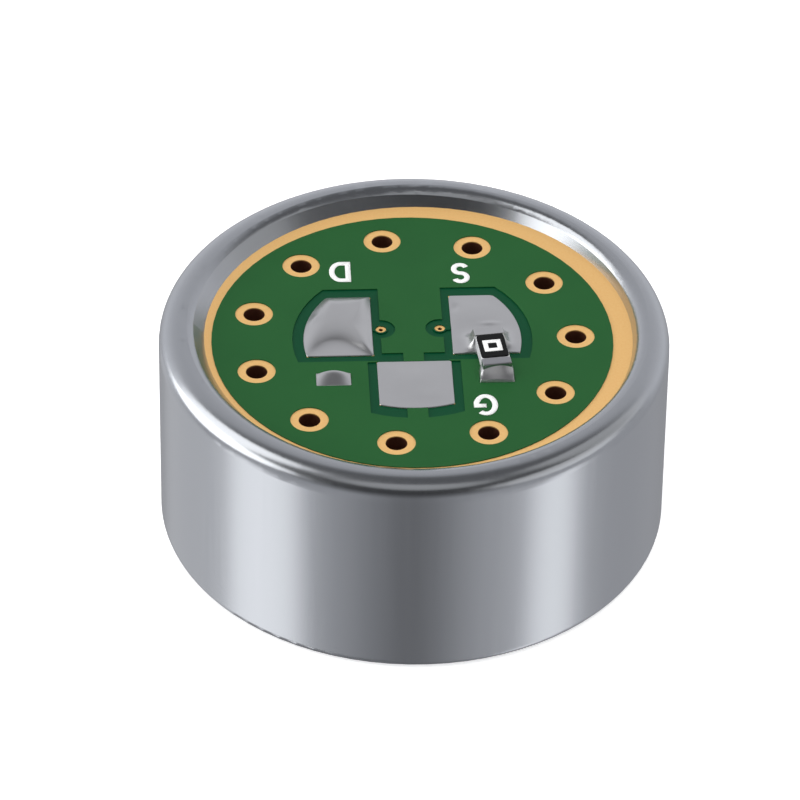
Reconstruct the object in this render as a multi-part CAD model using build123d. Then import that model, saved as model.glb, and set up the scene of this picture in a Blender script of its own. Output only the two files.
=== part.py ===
from build123d import *
import math
import os

# Condenser microphone capsule, standing on its sound inlet face with the terminal board upwards.
# Millimetres. +Z is up, +X to the right and +Y away from the viewer. The origin is the middle of
# the inlet face. The board sits a little off the axis of its can, as rolled-in boards do.

# Case: a drawn can whose rear edge is rolled in over the board
case_diameter = 14.0
case_height = 6.4
case_wall = 0.30
inlet_wall = 0.35
inlet_edge_radius = 0.25
rim_radius = 0.62
lip_drop = 0.16
lip_run = 0.05
lip_seat = 0.18
lip_edge_round = 0.35
lip_trim = 0.05
mouth_flare = 0.29
mouth_shift_x = 0.115
sound_hole_diameter = 0.70
sound_hole_spacing = 1.60
sound_hole_rings = 2

# Board
board_clearance = 0.20
board_shift_x = -0.05
board_shift_y = -0.16
pattern_turn = 3.2
base_thickness = 0.80
copper_thickness = 0.035
copper_pullback = 0.05
mask_thickness = 0.03
mask_wrap = 0.03
edge_ring_width = 1.00

# Ring vents and small vias
vent_count = 11
vent_inset = 2.02
vent_hole_diameter = 0.59
vent_land_diameter = 1.04
plating = 0.03
via_hole_diameter = 0.12
via_ring_diameter = 0.29
via_land_diameter = 0.33
via_moat_diameter = 0.85
via_stub_width = 0.10
via_reach = 0.27
via_shift_x = -0.035
via_y = 0.47

# Terminal pads and the moats that part them from the ground copper
pad_to_vent = 1.49
side_pad_inner = 1.08
side_pad_top = 1.91
side_pad_bottom = -0.67
ground_pad_half_width = 1.02
pad_row_gap = 0.29
pad_corner_radius = 0.05
side_moat_inner = 0.25
side_moat_top = 0.39
side_moat_bottom = 0.28
side_moat_outer = 0.33
ground_moat_side = 0.28
ground_moat_outer = 0.45
bar_rise = 0.11
spoke_width = 0.50

# Lands beside the ground pad
land_inset = 0.77
land_below_pads = 1.02
land_width = 0.96
land_depth = 0.54

# Tin on the pads and lands
tin_thickness = 0.06
tin_edge_round = 0.045
mound_height = 0.22
mound_edge = 0.03
mound_spare = 0.02
fillet_height = 0.28
fillet_reach = 0.20

# Chip resistor
chip_length = 1.60
chip_width = 0.80
chip_height = 0.40
chip_turn = 6.8
chip_off_land_x = -0.08
chip_off_land_y = 0.83
end_cap_length = 0.30
end_cap_wall = 0.03
overcoat_gap = 0.01
overcoat_margin = 0.02
overcoat_thickness = 0.04

# Stack between the inlet face and the board, front to rear
stack_clearance = 0.10
screen_thickness = 0.25
diaphragm_ring_width = 1.00
diaphragm_ring_thickness = 0.50
film_thickness = 0.05
spacer_width = 0.90
spacer_thickness = 0.10
plate_thickness = 0.50
plate_hole_diameter = 0.80
plate_hole_circle = 2.40
plate_hole_count = 8
holder_clearance = 0.05
holder_wall = 0.65
holder_ledge = 0.20
fit_gap = 0.05
contact_ring_wall = 0.35
felt_thickness = 0.30
felt_margin = 0.10
felt_inner_margin = 0.24

# Inner side of the board
gate_copper_width = 0.55
trace_width = 0.30
gate_after_vent = 8
strip_inner = 0.55
strip_outer = 1.20
strip_bottom = 0.05
strip_top = 3.05

# Transistor
transistor_length = 2.90
transistor_width = 1.30
transistor_height = 0.95
transistor_standoff = 0.10
transistor_y = -0.65
lead_pitch = 1.90
lead_span = 2.40
lead_width = 0.40
lead_thickness = 0.12
lead_foot = 0.30
lead_bend_radius = 0.09
joint_depth = 0.45

# Filter capacitors
capacitor_length = 1.60
capacitor_width = 0.80
capacitor_height = 0.80
capacitor_end_length = 0.35
capacitor_end_wall = 0.03
capacitor_first_y = 1.30
capacitor_spacing = 1.20
capacitor_count = 2

# The rolled rim: its bend, the board's depth below the crest, and where the lip lands on the board
case_radius = case_diameter / 2
bend_x = case_radius - rim_radius
bend_z = case_height - rim_radius
inner_bend_radius = rim_radius - case_wall
board_depth = case_wall + lip_drop
bend_above_board = board_depth - rim_radius
bend_to_seat = math.sqrt(inner_bend_radius**2 - bend_above_board**2) + lip_run
mouth_radius = bend_x - bend_to_seat - lip_seat

# Radii that follow from the can
bore_radius = case_radius - case_wall
stack_radius = bore_radius - stack_clearance
board_radius = bore_radius - board_clearance
mask_radius = board_radius - edge_ring_width
vent_circle = board_radius - vent_inset
pad_radius = vent_circle - pad_to_vent

# Levels of the board, rear side down to the inner side
board_face = case_height - board_depth
base_top = board_face - copper_thickness
mask_top = board_face + mask_thickness
moat_floor = base_top + mask_thickness
base_bottom = base_top - base_thickness
inner_face = base_bottom - copper_thickness
inner_mask_face = inner_face - mask_thickness

# Levels of the stack, front to rear
screen_top = inlet_wall + screen_thickness
ring_top = screen_top + diaphragm_ring_thickness
film_top = ring_top + film_thickness
spacer_top = film_top + spacer_thickness
electret_top = spacer_top + film_thickness
plate_top = electret_top + plate_thickness

# Radii of the stack
holder_radius = bore_radius - holder_clearance
plate_bore = holder_radius - holder_wall
plate_radius = plate_bore - fit_gap
rear_bore = plate_bore - holder_ledge
contact_radius = rear_bore - fit_gap
contact_bore = contact_radius - contact_ring_wall
gate_copper_radius = rear_bore - board_clearance
gate_copper_bore = gate_copper_radius - gate_copper_width
inner_mask_radius = contact_bore - board_clearance - fit_gap
felt_radius = inner_mask_radius - felt_margin
felt_bore = vent_circle - vent_land_diameter / 2 - felt_inner_margin

# Places on the board
vent_step = 360 / vent_count
via_x = side_pad_inner - via_reach
land_x = pad_radius - land_inset
land_y = side_pad_bottom - land_below_pads
chip_x = land_x + chip_off_land_x
chip_y = land_y + chip_off_land_y
ground_pad_top = side_pad_bottom - pad_row_gap
gate_angle = (gate_after_vent + 0.5) * vent_step
lead_tip = lead_span / 2
far = 2 * case_diameter


def on_board(shape):
    """Carry a shape drawn about the board's middle to the board's place in the can."""
    return Pos(board_shift_x, board_shift_y, 0) * Rot(0, 0, pattern_turn) * shape


def area(x_low, x_high, y_low, y_high):
    """A rectangle between two corners."""
    middle = Pos((x_low + x_high) / 2, (y_low + y_high) / 2)
    return middle * Rectangle(x_high - x_low, y_high - y_low)


def slab(region, bottom, top):
    """A flat region made solid between two levels."""
    return extrude(Pos(0, 0, bottom) * region, top - bottom)


def disc(radius, bottom, top, bore=0):
    """A round plate or ring about the origin, between two levels."""
    region = Circle(radius)
    if bore:
        region -= Circle(bore)
    return slab(region, bottom, top)


def both_sides(shape):
    """A shape and its mirror image across the board's middle line."""
    return shape + mirror(shape, about=Plane.YZ)


def vent_places():
    """The places of the ring vents, the first on the board's own X axis."""
    return PolarLocations(vent_circle, vent_count)


def via_places():
    """The places of the two small vias."""
    return Locations((via_shift_x - via_x, via_y), (via_shift_x + via_x, via_y))


def at_places(places, region):
    """Copies of one region at each of several places, as one region."""
    return Sketch() + places * region


def gathered(shapes):
    """Separate solids as one group."""
    return Compound([solid for shape in shapes for solid in shape.solids()])


# Case

def lip_slope():
    """The angle in degrees at which the lip dips from the crest to its seat on the board.

    It is the slope of the line through the end of the seat that touches the inner bend.
    """
    touch = math.asin(inner_bend_radius / math.hypot(bend_to_seat, bend_above_board))
    return math.degrees(math.atan2(bend_above_board, bend_to_seat) + touch)


def case():
    """Drawn can: one section turned about Z from +Y, then the pressed mouth and the sound holes."""
    slope = lip_slope()
    outer_bend = CenterArc((bend_x, bend_z), rim_radius, 0, 90 + slope)
    inner_bend = CenterArc((bend_x, bend_z), inner_bend_radius, 90 + slope, -90 - slope)
    blank_radius = mouth_radius - abs(mouth_shift_x) - lip_trim
    crest_end = outer_bend @ 1
    tip_fall = (crest_end.X - blank_radius) * math.tan(math.radians(slope))
    tip = (blank_radius, crest_end.Y - tip_fall)
    edge = inlet_edge_radius
    section = Curve() + [
        Line((0, 0), (case_radius - edge, 0)),
        CenterArc((case_radius - edge, edge), edge, -90, 90),
        Line((case_radius, edge), outer_bend @ 0),
        outer_bend,
        Line(crest_end, tip),
        Line(tip, (blank_radius, board_face)),
        Line((blank_radius, board_face), (mouth_radius + lip_seat, board_face)),
        Line((mouth_radius + lip_seat, board_face), inner_bend @ 0),
        inner_bend,
        Line(inner_bend @ 1, (bore_radius, inlet_wall)),
        Line((bore_radius, inlet_wall), (0, inlet_wall)),
        Line((0, inlet_wall), (0, 0)),
    ]
    can = revolve(Plane.YZ * make_face(section), Axis.Z)
    can -= mouth()
    mouth_edge = can.edges().filter_by(GeomType.BSPLINE).sort_by(Axis.Z)[-1]
    can = fillet(mouth_edge, lip_edge_round)
    return can - sound_holes()


def mouth():
    """The space inside the lip: off the axis at the board, and wider and true at the crest.

    Its seam is at -X, a quarter turn from the seam of the can.
    """
    seam = Rot(0, 0, 180)
    foot = Pos(mouth_shift_x, 0, board_face) * seam * Circle(mouth_radius)
    crest = Pos(0, 0, case_height) * seam * Circle(mouth_radius + mouth_flare)
    return loft([foot, crest])


def sound_holes():
    """A middle hole and rings of holes around it, six more in each ring than in the last."""
    hole = disc(sound_hole_diameter / 2, -inlet_wall, 2 * inlet_wall)
    holes = [hole]
    for ring in range(1, sound_hole_rings + 1):
        holes += PolarLocations(ring * sound_hole_spacing, 6 * ring) * hole
    return holes


# Copper pattern of the rear side

def side_pad(grow=0):
    """The right-hand terminal pad: a block whose outer side is an arc about the middle."""
    block = area(side_pad_inner - grow, far, side_pad_bottom - grow, side_pad_top + grow)
    return block & Circle(pad_radius + grow)


def side_pads(grow=0):
    """Both isolated terminal pads."""
    return both_sides(side_pad(grow))


def ground_pad(grow=0):
    """The ground pad, below the other two, with the same arc."""
    half = ground_pad_half_width + grow
    return area(-half, half, -far, ground_pad_top + grow) & Circle(pad_radius + grow)


def via_lands(grow=0):
    """The copper round each small via, with the narrow stub that joins it to its pad."""
    half = via_stub_width / 2 + grow
    nearest = via_x + via_shift_x
    stubs = both_sides(area(nearest, side_pad_inner + mask_wrap, via_y - half, via_y + half))
    return stubs + at_places(via_places(), Circle(via_land_diameter / 2 + grow))


def spokes(grow=0):
    """The two bridges that tie the ground pad to the ground copper."""
    half = spoke_width / 2 + grow
    return area(-half, half, -pad_radius - 2 * ground_moat_outer, side_pad_bottom + 3 * bar_rise)


def moats(shrink=0):
    """Everything inside the outer edges of the moats, the pads included."""
    beside = area(
        side_pad_inner - side_moat_inner + shrink,
        far,
        side_pad_bottom - side_moat_bottom + shrink,
        side_pad_top + side_moat_top - shrink,
    )
    beside = beside & Circle(pad_radius + side_moat_outer - shrink)
    lobes = at_places(via_places(), Circle(via_moat_diameter / 2 - shrink))
    half = ground_pad_half_width + ground_moat_side - shrink
    below = area(-half, half, -far, ground_pad_top - shrink / 2)
    below = below & Circle(pad_radius + ground_moat_outer - shrink)
    bar_end = side_pad_inner - side_moat_inner / 2
    bar = area(-bar_end, bar_end, ground_pad_top - mask_wrap, side_pad_bottom + bar_rise - shrink)
    return both_sides(beside) + lobes + below + bar


def land():
    """The exposed land right of the ground pad."""
    block = Pos(land_x, land_y) * Rectangle(land_width, land_depth)
    return fillet(block.vertices(), pad_corner_radius)


def ground_copper():
    """Rear copper at ground: edge ring, field, vent lands, ground pad and spokes."""
    region = Circle(board_radius - copper_pullback) - moats()
    region += ground_pad() + (spokes() & moats())
    region -= at_places(vent_places(), Circle(vent_hole_diameter / 2 + plating))
    return on_board(slab(region, base_top, board_face))


def pad_copper():
    """The two isolated pads with their via lands."""
    region = side_pads() + via_lands()
    region -= at_places(via_places(), Circle(via_hole_diameter / 2 + plating))
    return on_board(slab(region, base_top, board_face))


def rear_mask(copper, pads):
    """Solder mask: it follows the copper, dips into the moats and opens over pads and lands."""
    field = slab(Circle(mask_radius), base_top, mask_top)
    moat = moats(mask_wrap) - spokes(mask_wrap) - ground_pad() - side_pads() - via_lands(mask_wrap)
    openings = side_pads() + ground_pad() + both_sides(land())
    openings += at_places(vent_places(), Circle(vent_land_diameter / 2))
    openings += at_places(via_places(), Circle(via_ring_diameter / 2))
    field -= slab(moat, moat_floor, case_height)
    field -= slab(openings, base_top, case_height)
    return on_board(field) - copper - pads


def board_base():
    """Glass-epoxy disc, drilled for the vents and the small vias."""
    region = Circle(board_radius)
    region -= at_places(vent_places(), Circle(vent_hole_diameter / 2 + plating))
    region -= at_places(via_places(), Circle(via_hole_diameter / 2 + plating))
    return on_board(slab(region, base_bottom, base_top))


def barrels(places, hole_diameter):
    """Plated tubes through the board, flush with the copper on both sides."""
    tube = disc(hole_diameter / 2 + plating, inner_face, board_face, hole_diameter / 2)
    return on_board(gathered(places * tube))


# Tin and the chip resistor

def tin_coat(region):
    """A reflowed coat on a pad, rounded down to the pad's edge."""
    coat = slab(region, board_face, board_face + tin_thickness)
    return fillet(coat.edges().group_by(Axis.Z)[-1], tin_edge_round)


def arched_bar(width, depth, height):
    """A bar along Y whose section is a low arch on two short sides."""
    half = width / 2
    section = Curve() + [
        Line((-half, 0), (half, 0)),
        Line((half, 0), (half, mound_edge)),
        ThreePointArc((half, mound_edge), (0, height), (-half, mound_edge)),
        Line((-half, mound_edge), (-half, 0)),
    ]
    return extrude(Plane.XZ * make_face(section), depth / 2, both=True)


def tin_mound():
    """A pillow of tin over the right land: an arch across its width meets one across its depth."""
    width = land_width + mound_spare
    depth = land_depth + mound_spare
    across = arched_bar(width, depth + mound_spare, mound_height)
    along = Rot(0, 0, 90) * arched_bar(depth, width + mound_spare, mound_height)
    return Pos(land_x, land_y, board_face) * (across & along)


def over_land(tin):
    """The tin that stays on the right land, which it wets and the mask round it doesn't."""
    return tin & slab(land(), board_face, case_height)


def chip_place():
    """Where the chip stands: across the moat, turned a little, on the mask."""
    return Pos(chip_x, chip_y, mask_top) * Rot(0, 0, chip_turn)


def chip_fillet(end):
    """Tin that climbs one end of the chip, as a wedge that narrows upwards."""
    foot_width = chip_width + fillet_reach
    foot_length = end_cap_length + fillet_reach
    middle = end * (chip_length / 2 - end_cap_length / 2 + fillet_reach / 2)
    foot = Pos(0, middle, board_face - mask_top) * Rectangle(foot_width, foot_length)
    draft = math.degrees(math.atan2(fillet_reach / 2, fillet_height))
    return chip_place() * extrude(foot, fillet_height, taper=draft)


def chip_envelope():
    """The space that the chip takes up."""
    return chip_place() * Pos(0, 0, chip_height / 2) * Box(chip_width, chip_length, chip_height)


def drain_solder():
    """Tin on the left pad."""
    return on_board(mirror(tin_coat(side_pad()), about=Plane.YZ))


def source_solder():
    """Tin on the right pad, one mass with the fillet at the chip's upper end."""
    return on_board(tin_coat(side_pad()) + chip_fillet(1) - chip_envelope())


def ground_solder():
    """Tin on the ground pad."""
    return on_board(tin_coat(ground_pad()))


def spare_land_solder():
    """Tin on the empty land on the left."""
    return on_board(mirror(over_land(tin_mound()), about=Plane.YZ))


def chip_land_solder():
    """Tin on the right land, one mass with the fillet at the chip's lower end."""
    return on_board(over_land(tin_mound() + chip_fillet(-1)) - chip_envelope())


def end_caps(length, width, height, cap_length, cap_wall):
    """The wrapped metal ends of a chip part that lies along Y, and the core between them."""
    block = Pos(0, 0, height / 2) * Box(width, length, height)
    core = Pos(0, 0, height / 2) * Box(width, length - 2 * cap_wall, height - 2 * cap_wall)
    shell = block - core
    middle = Pos(0, 0, height / 2) * Box(2 * width, length - 2 * cap_length, 2 * height)
    return shell - middle, core


def chip_terminals():
    """The chip's metal ends."""
    caps, core = end_caps(chip_length, chip_width, chip_height, end_cap_length, end_cap_wall)
    return on_board(chip_place() * caps)


def chip_body():
    """The chip's ceramic."""
    caps, core = end_caps(chip_length, chip_width, chip_height, end_cap_length, end_cap_wall)
    return on_board(chip_place() * core)


def chip_overcoat():
    """The black coat between the chip's ends."""
    level = chip_height - end_cap_wall
    width = chip_width - 2 * overcoat_margin
    length = chip_length - 2 * end_cap_length - 2 * overcoat_gap
    coat = Box(width, length, overcoat_thickness)
    coat = Pos(0, 0, level + overcoat_thickness / 2) * coat
    coat = fillet(coat.edges().filter_by(Axis.Z), pad_corner_radius)
    return on_board(chip_place() * coat)


# Stack from the inlet face to the board

def plate_layer(bottom, top):
    """A layer of the back plate, pierced by its air holes: one in the middle and one circle."""
    hole = Circle(plate_hole_diameter / 2)
    region = Circle(plate_radius) - hole
    region -= at_places(PolarLocations(plate_hole_circle, plate_hole_count), hole)
    return slab(region, bottom, top)


def plate_holder():
    """Insulating ring: a wide bore takes the plate, and a ledge behind it carries the plate."""
    ring = disc(holder_radius, spacer_top, base_bottom)
    ring -= disc(plate_bore, spacer_top, plate_top)
    return ring - disc(rear_bore, plate_top, base_bottom)


# Inner side of the board

def gate_trace():
    """Trace from the transistor's gate out to the contact copper, between two vents."""
    start = Vector(0, transistor_y - lead_tip + lead_foot / 2)
    middle_radius = (gate_copper_radius + gate_copper_bore) / 2
    end = Vector(middle_radius, 0).rotate(Axis.Z, gate_angle)
    run = end - start
    bar = Rectangle(run.length, trace_width)
    centre = start + run * 0.5
    turn = math.degrees(math.atan2(run.Y, run.X))
    return Pos(centre.X, centre.Y) * Rot(0, 0, turn) * bar


def joints():
    """The exposed lands under the transistor's leads and the capacitors' ends."""
    foot_y = lead_tip - lead_foot / 2
    pads = [
        Pos(-lead_pitch / 2, transistor_y + foot_y) * Rectangle(lead_width, joint_depth),
        Pos(lead_pitch / 2, transistor_y + foot_y) * Rectangle(lead_width, joint_depth),
        Pos(0, transistor_y - foot_y) * Rectangle(lead_width, joint_depth),
    ]
    end_x = capacitor_length / 2 - capacitor_end_length / 2
    for index in range(capacitor_count):
        y = capacitor_first_y + index * capacitor_spacing
        pads.append(Pos(-end_x, y) * Rectangle(capacitor_end_length, capacitor_width))
        pads.append(Pos(end_x, y) * Rectangle(capacitor_end_length, capacitor_width))
    return pads


def inner_copper():
    """Contact copper with the gate trace, the two strips and the land of each vent."""
    gate = Circle(gate_copper_radius) - Circle(gate_copper_bore)
    gate += gate_trace()
    gate += Pos(0, transistor_y - lead_tip + lead_foot / 2) * Rectangle(2 * lead_width, 2 * lead_width)
    strips = both_sides(area(strip_inner, strip_outer, strip_bottom, strip_top))
    strips -= at_places(via_places(), Circle(via_hole_diameter / 2 + plating))
    lands = at_places(vent_places(), Circle(vent_land_diameter / 2))
    lands -= at_places(vent_places(), Circle(vent_hole_diameter / 2 + plating))
    nets = [slab(region, inner_face, base_bottom) for region in (gate, strips, lands)]
    return on_board(gathered(nets))


def inner_mask(copper):
    """Solder mask of the inner side, open at the joints, the vents and the contact copper."""
    region = Circle(inner_mask_radius)
    for joint in joints():
        region -= joint
    region -= at_places(vent_places(), Circle(vent_hole_diameter / 2 + plating))
    region -= at_places(via_places(), Circle(via_hole_diameter / 2 + plating))
    return on_board(slab(region, inner_mask_face, base_bottom)) - copper


def damping_ring():
    """Felt over the vents' inner mouths, held against the inner mask."""
    felt_face = inner_mask_face - felt_thickness
    return on_board(disc(felt_radius, felt_face, inner_mask_face, felt_bore))


def inner_solder():
    """Solder that fills the mask's openings under each lead and end."""
    return on_board(gathered([slab(pad, inner_mask_face, inner_face) for pad in joints()]))


def transistor_body():
    """Moulded body, a block with drafted sides, hanging below the board."""
    top = inner_mask_face - transistor_standoff
    block = Pos(0, transistor_y, top - transistor_height / 2)
    block = block * Box(transistor_length, transistor_width, transistor_height)
    return on_board(chamfer(block.edges().group_by(Axis.Z)[0], transistor_height / 8))


def transistor_leads():
    """Three gull-wing leads, each one bent strip from the body's side to its joint."""
    body_middle = inner_mask_face - transistor_standoff - transistor_height / 2
    foot_level = inner_mask_face - lead_thickness / 2
    side = transistor_width / 2
    shoulder = lead_tip - lead_foot - lead_thickness
    path = FilletPolyline(
        (side, body_middle),
        (shoulder, body_middle),
        (lead_tip - lead_foot, foot_level),
        (lead_tip, foot_level),
        radius=lead_bend_radius,
    )
    strip = trace(path, lead_thickness)
    plane = Plane(origin=(0, 0, 0), x_dir=(0, 1, 0), z_dir=(1, 0, 0))
    lead = extrude(plane * strip, lead_width / 2, both=True)
    places = [(-lead_pitch / 2, 0), (lead_pitch / 2, 0), (0, 180)]
    leads = [Pos(x, transistor_y) * Rot(0, 0, turn) * lead for x, turn in places]
    return on_board(gathered(leads))


def capacitors():
    """The filter capacitors, each as a core and its two wrapped ends, hanging below the board."""
    caps, core = end_caps(
        capacitor_length,
        capacitor_width,
        capacitor_height,
        capacitor_end_length,
        capacitor_end_wall,
    )
    hang = inner_mask_face - capacitor_height
    cores = []
    ends = []
    for index in range(capacitor_count):
        y = capacitor_first_y + index * capacitor_spacing
        place = Pos(0, y, hang) * Rot(0, 0, 90)
        cores.append(place * core)
        ends.append(place * caps)
    return on_board(gathered(cores)), on_board(gathered(ends))


def build():
    """Every piece of the capsule by name."""
    copper = ground_copper()
    pads = pad_copper()
    inner = inner_copper()
    capacitor_bodies, capacitor_terminals = capacitors()
    return {
        "case": case(),
        "dust_screen": disc(stack_radius, inlet_wall, screen_top),
        "diaphragm_ring": disc(stack_radius, screen_top, ring_top, stack_radius - diaphragm_ring_width),
        "diaphragm": disc(stack_radius, ring_top, film_top),
        "diaphragm_spacer": disc(stack_radius, film_top, spacer_top, stack_radius - spacer_width),
        "electret_film": plate_layer(spacer_top, electret_top),
        "back_plate": plate_layer(electret_top, plate_top),
        "plate_holder": plate_holder(),
        "contact_ring": disc(contact_radius, plate_top, inner_face, contact_bore),
        "damping_ring": damping_ring(),
        "board_base": board_base(),
        "ground_copper": copper,
        "pad_copper": pads,
        "rear_mask": rear_mask(copper, pads),
        "inner_copper": inner,
        "inner_mask": inner_mask(inner),
        "vent_barrels": barrels(vent_places(), vent_hole_diameter),
        "via_barrels": barrels(via_places(), via_hole_diameter),
        "drain_solder": drain_solder(),
        "source_solder": source_solder(),
        "ground_solder": ground_solder(),
        "spare_land_solder": spare_land_solder(),
        "chip_land_solder": chip_land_solder(),
        "chip_body": chip_body(),
        "chip_terminals": chip_terminals(),
        "chip_overcoat": chip_overcoat(),
        "transistor_body": transistor_body(),
        "transistor_leads": transistor_leads(),
        "capacitor_bodies": capacitor_bodies,
        "capacitor_terminals": capacitor_terminals,
        "inner_solder": inner_solder(),
    }


os.makedirs("parts", exist_ok=True)
for name, shape in build().items():
    export_step(shape, f"parts/{name}.step")
    print(name, len(shape.solids()), "solids", round(shape.volume, 4), "cubic mm")
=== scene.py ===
"""Looks of a round electret microphone capsule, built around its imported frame.

Millimetres are used throughout, and turned to metres where a mesh, light or camera is made.
+Z is up, -Y is towards the viewer, and the capsule stands on its sound inlet face.
"""

import logging
import math
from dataclasses import dataclass, field
from enum import Enum
from typing import Any

import bmesh
import bpy
import numpy as np
from mathutils import Matrix, Vector


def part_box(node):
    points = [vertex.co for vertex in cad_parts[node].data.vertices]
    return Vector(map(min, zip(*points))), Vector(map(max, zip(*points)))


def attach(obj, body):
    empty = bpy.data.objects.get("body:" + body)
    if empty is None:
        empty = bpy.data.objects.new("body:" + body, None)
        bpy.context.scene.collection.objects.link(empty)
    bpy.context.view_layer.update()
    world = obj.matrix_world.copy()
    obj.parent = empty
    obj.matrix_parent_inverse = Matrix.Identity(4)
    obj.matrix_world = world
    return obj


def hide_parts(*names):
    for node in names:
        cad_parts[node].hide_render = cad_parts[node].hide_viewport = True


MM = 0.001
IMAGE_SIDE = 800
SENSOR_MM = 36.0
# Nearly all the values of a noise lie between these two.
NOISE_LOW, NOISE_HIGH = 0.3, 0.7
# The sockets of a Mix node that mixes colours, and of one that mixes numbers.
SHARE, COLOUR_A, COLOUR_B, COLOUR_OUT = 0, 6, 7, 2
NUMBER_A, NUMBER_B, NUMBER_OUT = 2, 3, 0

Array = np.ndarray
Socket = bpy.types.NodeSocket
Inputs = dict[Any, Any] | tuple[Any, ...]

log = logging.getLogger("capsule")
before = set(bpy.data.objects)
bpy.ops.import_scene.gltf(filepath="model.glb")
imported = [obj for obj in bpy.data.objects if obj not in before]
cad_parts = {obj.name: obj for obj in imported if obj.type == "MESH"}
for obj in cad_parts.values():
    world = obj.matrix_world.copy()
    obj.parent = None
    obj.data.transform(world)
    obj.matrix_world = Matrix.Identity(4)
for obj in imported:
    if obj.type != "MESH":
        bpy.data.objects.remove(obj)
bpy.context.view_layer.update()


# Nodes and colours


def linear(colour: str) -> tuple[float, float, float, float]:
    """Turns an sRGB hex colour to linear RGBA.

    Args:
        colour: The colour as #rrggbb.

    Returns:
        Red, green, blue and an alpha of one, for a node's colour socket.
    """
    parts = [int(colour[at : at + 2], 16) / 255 for at in (1, 3, 5)]
    rgb = [c / 12.92 if c <= 0.04045 else ((c + 0.055) / 1.055) ** 2.4 for c in parts]
    return (rgb[0], rgb[1], rgb[2], 1.0)


def per_metre(size_mm: float) -> float:
    """The texture scale at which a pattern has features of this size."""
    return 1 / (size_mm * MM)


@dataclass(frozen=True)
class Shading:
    """A tree of nodes, the shader that it ends in, and the coordinates that it starts from."""

    tree: bpy.types.NodeTree
    shader: bpy.types.Node
    place: Socket

    def feed(self, node: bpy.types.Node, inputs: Inputs) -> None:
        """Sets or links a node's inputs.

        Args:
            node: The node.
            inputs: For each input, by name, by number or in order, its value or its feed.
        """
        pairs = inputs.items() if isinstance(inputs, dict) else enumerate(inputs)
        for key, value in pairs:
            if isinstance(value, Socket):
                self.tree.links.new(value, node.inputs[key])
            else:
                node.inputs[key].default_value = value

    def add(self, kind: str, inputs: Inputs = (), **settings: Any) -> bpy.types.Node:
        """Adds a node with its settings and links.

        Args:
            kind: The node's type, without its ShaderNode.
            inputs: As in feed.
            settings: The node's own properties.

        Returns:
            The new node.
        """
        node = self.tree.nodes.new(f"ShaderNode{kind}")
        for key, value in settings.items():
            setattr(node, key, value)
        self.feed(node, inputs)
        return node


# Finishes


@dataclass(frozen=True)
class Finish:
    """A material by its common name, with the slot of the record that it shows.

    Its relief is relief_share of its grain deep, and relief is how strongly it shows.
    """

    name: str
    slot: str
    colour: str
    second_colour: str
    roughness: float
    grain_mm: float
    metallic: float = 0.0
    specular: float = 0.5
    grain_detail: float = 4.0
    grain_roughness: float = 0.5
    relief: float = 0.1
    relief_share: float = 0.25

    def material(self) -> bpy.types.Material:
        """Makes the finish a Blender material, once.

        Returns:
            The material, shared by every piece of this finish.
        """
        made = bpy.data.materials.get(self.name)
        if made:
            return made
        made = bpy.data.materials.new(self.name)
        made.use_nodes = True
        tree = made.node_tree
        place = tree.nodes.new("ShaderNodeTexCoord").outputs["Object"]
        look = Shading(tree, tree.nodes["Principled BSDF"], place)
        even = {
            "Base Color": linear(self.colour),
            "Roughness": self.roughness,
            "Metallic": self.metallic,
            "Specular IOR Level": self.specular,
        }
        look.feed(look.shader, even)
        self.pattern(look)
        return made

    def pattern(self, look: Shading) -> None:
        """Adds what the surface shows beyond one colour."""
        raise NotImplementedError

    def grain(self, look: Shading, place: Socket) -> Socket:
        """The finish's grain, from nought to one, as it lies at a place."""
        inputs = {
            "Vector": place,
            "Scale": per_metre(self.grain_mm),
            "Detail": self.grain_detail,
            "Roughness": self.grain_roughness,
        }
        return look.add("TexNoise", inputs).outputs["Fac"]

    def two_tones(self, look: Shading, share: Socket) -> Socket:
        """The finish's first colour, with a share of its second."""
        tones = {SHARE: share, COLOUR_A: linear(self.colour), COLOUR_B: linear(self.second_colour)}
        return look.add("Mix", tones, data_type="RGBA").outputs[COLOUR_OUT]

    def lay(self, look: Shading, colour: Socket, height: Socket) -> None:
        """Gives the shader its colour and its relief.

        Args:
            look: The material's nodes.
            colour: What the shader's colour follows.
            height: What the relief follows.
        """
        depth = self.grain_mm * self.relief_share * MM
        bump = look.add("Bump", {"Strength": self.relief, "Distance": depth, "Height": height})
        look.feed(look.shader, {"Base Color": colour, "Normal": bump.outputs["Normal"]})


@dataclass(frozen=True)
class Grained(Finish):
    """A surface with a fine grain in two tones, such as a moulding, felt or satin metal."""

    roughness_swing: float = 0.08

    def pattern(self, look: Shading) -> None:
        """Grains the surface evenly."""
        self.tone(look, self.grain(look, look.place))

    def tone(self, look: Shading, grain: Socket) -> None:
        """Lets a grain swing the colour, the roughness and the relief.

        Args:
            look: The material's nodes.
            grain: The grain, from nought to one.
        """
        low, high = self.roughness - self.roughness_swing, self.roughness + self.roughness_swing
        gloss = look.add("MapRange", (grain, NOISE_LOW, NOISE_HIGH, low, high))
        look.feed(look.shader, {"Roughness": gloss.outputs["Result"]})
        self.lay(look, self.two_tones(look, grain), grain)


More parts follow.
